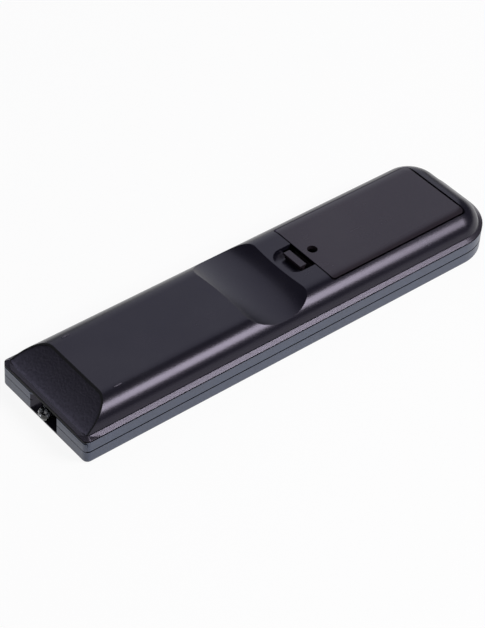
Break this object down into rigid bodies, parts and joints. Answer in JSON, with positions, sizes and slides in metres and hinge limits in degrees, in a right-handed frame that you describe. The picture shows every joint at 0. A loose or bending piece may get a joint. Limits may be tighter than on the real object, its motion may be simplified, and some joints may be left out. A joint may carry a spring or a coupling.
{
  "type": "universal remote control",
  "caption": "Slim handheld infrared remote control with a humped back, finger scoop, sloped nose with a clear emitter, lift-up battery door and travelling keys on its face",
  "frame": {"origin": "centre of the plane of the face, on which the remote lies with its back up", "axes": "+Y along the remote from the emitter to the battery end, +Z out of the back, +X across"},
  "size_m": [0.046, 0.1836, 0.0176],
  "materials": {
    "case_plastic": "satin moulded, dark grey with a violet cast",
    "key_plastic": "satin, dark grey",
    "light_key_plastic": "satin, mid grey",
    "red_key_plastic": "satin",
    "green_key_plastic": "satin",
    "yellow_key_plastic": "satin",
    "blue_key_plastic": "satin",
    "cell_jacket": "printed foil jacket",
    "spring_steel": "nickel plated",
    "screw_steel": "zinc plated",
    "board": "solder resist on laminate",
    "silicone": "matt moulded",
    "chip_resin": "moulded resin",
    "amber_resin": "dipped resin",
    "capacitor_sleeve": "shrunk sleeve",
    "resistor_body": "lacquered",
    "clear_epoxy": "clear cast",
    "red_epoxy": "tinted cast"
  },
  "bodies": {
    "case": {"back_case": "case_plastic", "front_case": "case_plastic", "battery_left": "cell_jacket", "battery_right": "cell_jacket", "spring_left": "spring_steel", "spring_right": "spring_steel", "contact_bridge": "spring_steel", "contact_negative": "spring_steel", "contact_positive": "spring_steel", "circuit_board": "board", "key_mat": "silicone", "controller_chip": "chip_resin", "resonator": "amber_resin", "capacitor": "capacitor_sleeve", "driver_transistor": "chip_resin", "resistors": "resistor_body", "ir_emitter": "clear_epoxy", "emitter_leads": "spring_steel", "indicator_lamp": "red_epoxy", "case_screws": "screw_steel"},
    "door": {"battery_door": "case_plastic"},
    "latch": {"door_latch": "case_plastic"},
    "power_key": {"power_key": "red_key_plastic"},
    "setup_key": {"setup_key": "key_plastic"},
    "mode_key_1": {"mode_key_1": "light_key_plastic"},
    "mode_key_2": {"mode_key_2": "light_key_plastic"},
    "mode_key_3": {"mode_key_3": "light_key_plastic"},
    "mode_key_4": {"mode_key_4": "light_key_plastic"},
    "digit_key_1": {"digit_key_1": "key_plastic"},
    "digit_key_2": {"digit_key_2": "key_plastic"},
    "digit_key_3": {"digit_key_3": "key_plastic"},
    "digit_key_4": {"digit_key_4": "key_plastic"},
    "digit_key_5": {"digit_key_5": "key_plastic"},
    "digit_key_6": {"digit_key_6": "key_plastic"},
    "digit_key_7": {"digit_key_7": "key_plastic"},
    "digit_key_8": {"digit_key_8": "key_plastic"},
    "digit_key_9": {"digit_key_9": "key_plastic"},
    "entry_key": {"entry_key": "key_plastic"},
    "digit_key_0": {"digit_key_0": "key_plastic"},
    "input_key": {"input_key": "key_plastic"},
    "up_key": {"up_key": "key_plastic"},
    "right_key": {"right_key": "key_plastic"},
    "down_key": {"down_key": "key_plastic"},
    "left_key": {"left_key": "key_plastic"},
    "centre_key": {"centre_key": "light_key_plastic"},
    "volume_up_key": {"volume_up_key": "key_plastic"},
    "mute_key": {"mute_key": "key_plastic"},
    "channel_up_key": {"channel_up_key": "key_plastic"},
    "volume_down_key": {"volume_down_key": "key_plastic"},
    "menu_key": {"menu_key": "key_plastic"},
    "channel_down_key": {"channel_down_key": "key_plastic"},
    "red_key": {"red_key": "red_key_plastic"},
    "green_key": {"green_key": "green_key_plastic"},
    "yellow_key": {"yellow_key": "yellow_key_plastic"},
    "blue_key": {"blue_key": "blue_key_plastic"}
  },
  "joints": [
    {"name": "door_hinge", "type": "hinge", "parent": "case", "child": "door", "pos_m": [0, 0.07915, 0.01665], "axis": [-1, 0, 0], "range_deg": [0, 50]},
    {"name": "latch_bend", "type": "hinge", "parent": "door", "child": "latch", "pos_m": [0, 0.0166, 0.0114], "axis": [-1, 0, 0], "range_deg": [0, 16], "stiffness_Nm_per_rad": 0.06},
    {"name": "power_key_press", "type": "slide", "parent": "case", "child": "power_key", "axis": [0, 0, 1], "range_m": [0, 0.001], "stiffness_N_per_m": 1000},
    {"name": "setup_key_press", "type": "slide", "parent": "case", "child": "setup_key", "axis": [0, 0, 1], "range_m": [0, 0.001], "stiffness_N_per_m": 1000},
    {"name": "mode_key_1_press", "type": "slide", "parent": "case", "child": "mode_key_1", "axis": [0, 0, 1], "range_m": [0, 0.001], "stiffness_N_per_m": 1000},
    {"name": "mode_key_2_press", "type": "slide", "parent": "case", "child": "mode_key_2", "axis": [0, 0, 1], "range_m": [0, 0.001], "stiffness_N_per_m": 1000},
    {"name": "mode_key_3_press", "type": "slide", "parent": "case", "child": "mode_key_3", "axis": [0, 0, 1], "range_m": [0, 0.001], "stiffness_N_per_m": 1000},
    {"name": "mode_key_4_press", "type": "slide", "parent": "case", "child": "mode_key_4", "axis": [0, 0, 1], "range_m": [0, 0.001], "stiffness_N_per_m": 1000},
    {"name": "digit_key_1_press", "type": "slide", "parent": "case", "child": "digit_key_1", "axis": [0, 0, 1], "range_m": [0, 0.001], "stiffness_N_per_m": 1000},
    {"name": "digit_key_2_press", "type": "slide", "parent": "case", "child": "digit_key_2", "axis": [0, 0, 1], "range_m": [0, 0.001], "stiffness_N_per_m": 1000},
    {"name": "digit_key_3_press", "type": "slide", "parent": "case", "child": "digit_key_3", "axis": [0, 0, 1], "range_m": [0, 0.001], "stiffness_N_per_m": 1000},
    {"name": "digit_key_4_press", "type": "slide", "parent": "case", "child": "digit_key_4", "axis": [0, 0, 1], "range_m": [0, 0.001], "stiffness_N_per_m": 1000},
    {"name": "digit_key_5_press", "type": "slide", "parent": "case", "child": "digit_key_5", "axis": [0, 0, 1], "range_m": [0, 0.001], "stiffness_N_per_m": 1000},
    {"name": "digit_key_6_press", "type": "slide", "parent": "case", "child": "digit_key_6", "axis": [0, 0, 1], "range_m": [0, 0.001], "stiffness_N_per_m": 1000},
    {"name": "digit_key_7_press", "type": "slide", "parent": "case", "child": "digit_key_7", "axis": [0, 0, 1], "range_m": [0, 0.001], "stiffness_N_per_m": 1000},
    {"name": "digit_key_8_press", "type": "slide", "parent": "case", "child": "digit_key_8", "axis": [0, 0, 1], "range_m": [0, 0.001], "stiffness_N_per_m": 1000},
    {"name": "digit_key_9_press", "type": "slide", "parent": "case", "child": "digit_key_9", "axis": [0, 0, 1], "range_m": [0, 0.001], "stiffness_N_per_m": 1000},
    {"name": "entry_key_press", "type": "slide", "parent": "case", "child": "entry_key", "axis": [0, 0, 1], "range_m": [0, 0.001], "stiffness_N_per_m": 1000},
    {"name": "digit_key_0_press", "type": "slide", "parent": "case", "child": "digit_key_0", "axis": [0, 0, 1], "range_m": [0, 0.001], "stiffness_N_per_m": 1000},
    {"name": "input_key_press", "type": "slide", "parent": "case", "child": "input_key", "axis": [0, 0, 1], "range_m": [0, 0.001], "stiffness_N_per_m": 1000},
    {"name": "up_key_press", "type": "slide", "parent": "case", "child": "up_key", "axis": [0, 0, 1], "range_m": [0, 0.001], "stiffness_N_per_m": 1000},
    {"name": "right_key_press", "type": "slide", "parent": "case", "child": "right_key", "axis": [0, 0, 1], "range_m": [0, 0.001], "stiffness_N_per_m": 1000},
    {"name": "down_key_press", "type": "slide", "parent": "case", "child": "down_key", "axis": [0, 0, 1], "range_m": [0, 0.001], "stiffness_N_per_m": 1000},
    {"name": "left_key_press", "type": "slide", "parent": "case", "child": "left_key", "axis": [0, 0, 1], "range_m": [0, 0.001], "stiffness_N_per_m": 1000},
    {"name": "centre_key_press", "type": "slide", "parent": "case", "child": "centre_key", "axis": [0, 0, 1], "range_m": [0, 0.001], "stiffness_N_per_m": 1000},
    {"name": "volume_up_key_press", "type": "slide", "parent": "case", "child": "volume_up_key", "axis": [0, 0, 1], "range_m": [0, 0.001], "stiffness_N_per_m": 1000},
    {"name": "mute_key_press", "type": "slide", "parent": "case", "child": "mute_key", "axis": [0, 0, 1], "range_m": [0, 0.001], "stiffness_N_per_m": 1000},
    {"name": "channel_up_key_press", "type": "slide", "parent": "case", "child": "channel_up_key", "axis": [0, 0, 1], "range_m": [0, 0.001], "stiffness_N_per_m": 1000},
    {"name": "volume_down_key_press", "type": "slide", "parent": "case", "child": "volume_down_key", "axis": [0, 0, 1], "range_m": [0, 0.001], "stiffness_N_per_m": 1000},
    {"name": "menu_key_press", "type": "slide", "parent": "case", "child": "menu_key", "axis": [0, 0, 1], "range_m": [0, 0.001], "stiffness_N_per_m": 1000},
    {"name": "channel_down_key_press", "type": "slide", "parent": "case", "child": "channel_down_key", "axis": [0, 0, 1], "range_m": [0, 0.001], "stiffness_N_per_m": 1000},
    {"name": "red_key_press", "type": "slide", "parent": "case", "child": "red_key", "axis": [0, 0, 1], "range_m": [0, 0.001], "stiffness_N_per_m": 1000},
    {"name": "green_key_press", "type": "slide", "parent": "case", "child": "green_key", "axis": [0, 0, 1], "range_m": [0, 0.001], "stiffness_N_per_m": 1000},
    {"name": "yellow_key_press", "type": "slide", "parent": "case", "child": "yellow_key", "axis": [0, 0, 1], "range_m": [0, 0.001], "stiffness_N_per_m": 1000},
    {"name": "blue_key_press", "type": "slide", "parent": "case", "child": "blue_key", "axis": [0, 0, 1], "range_m": [0, 0.001], "stiffness_N_per_m": 1000}
  ]
}
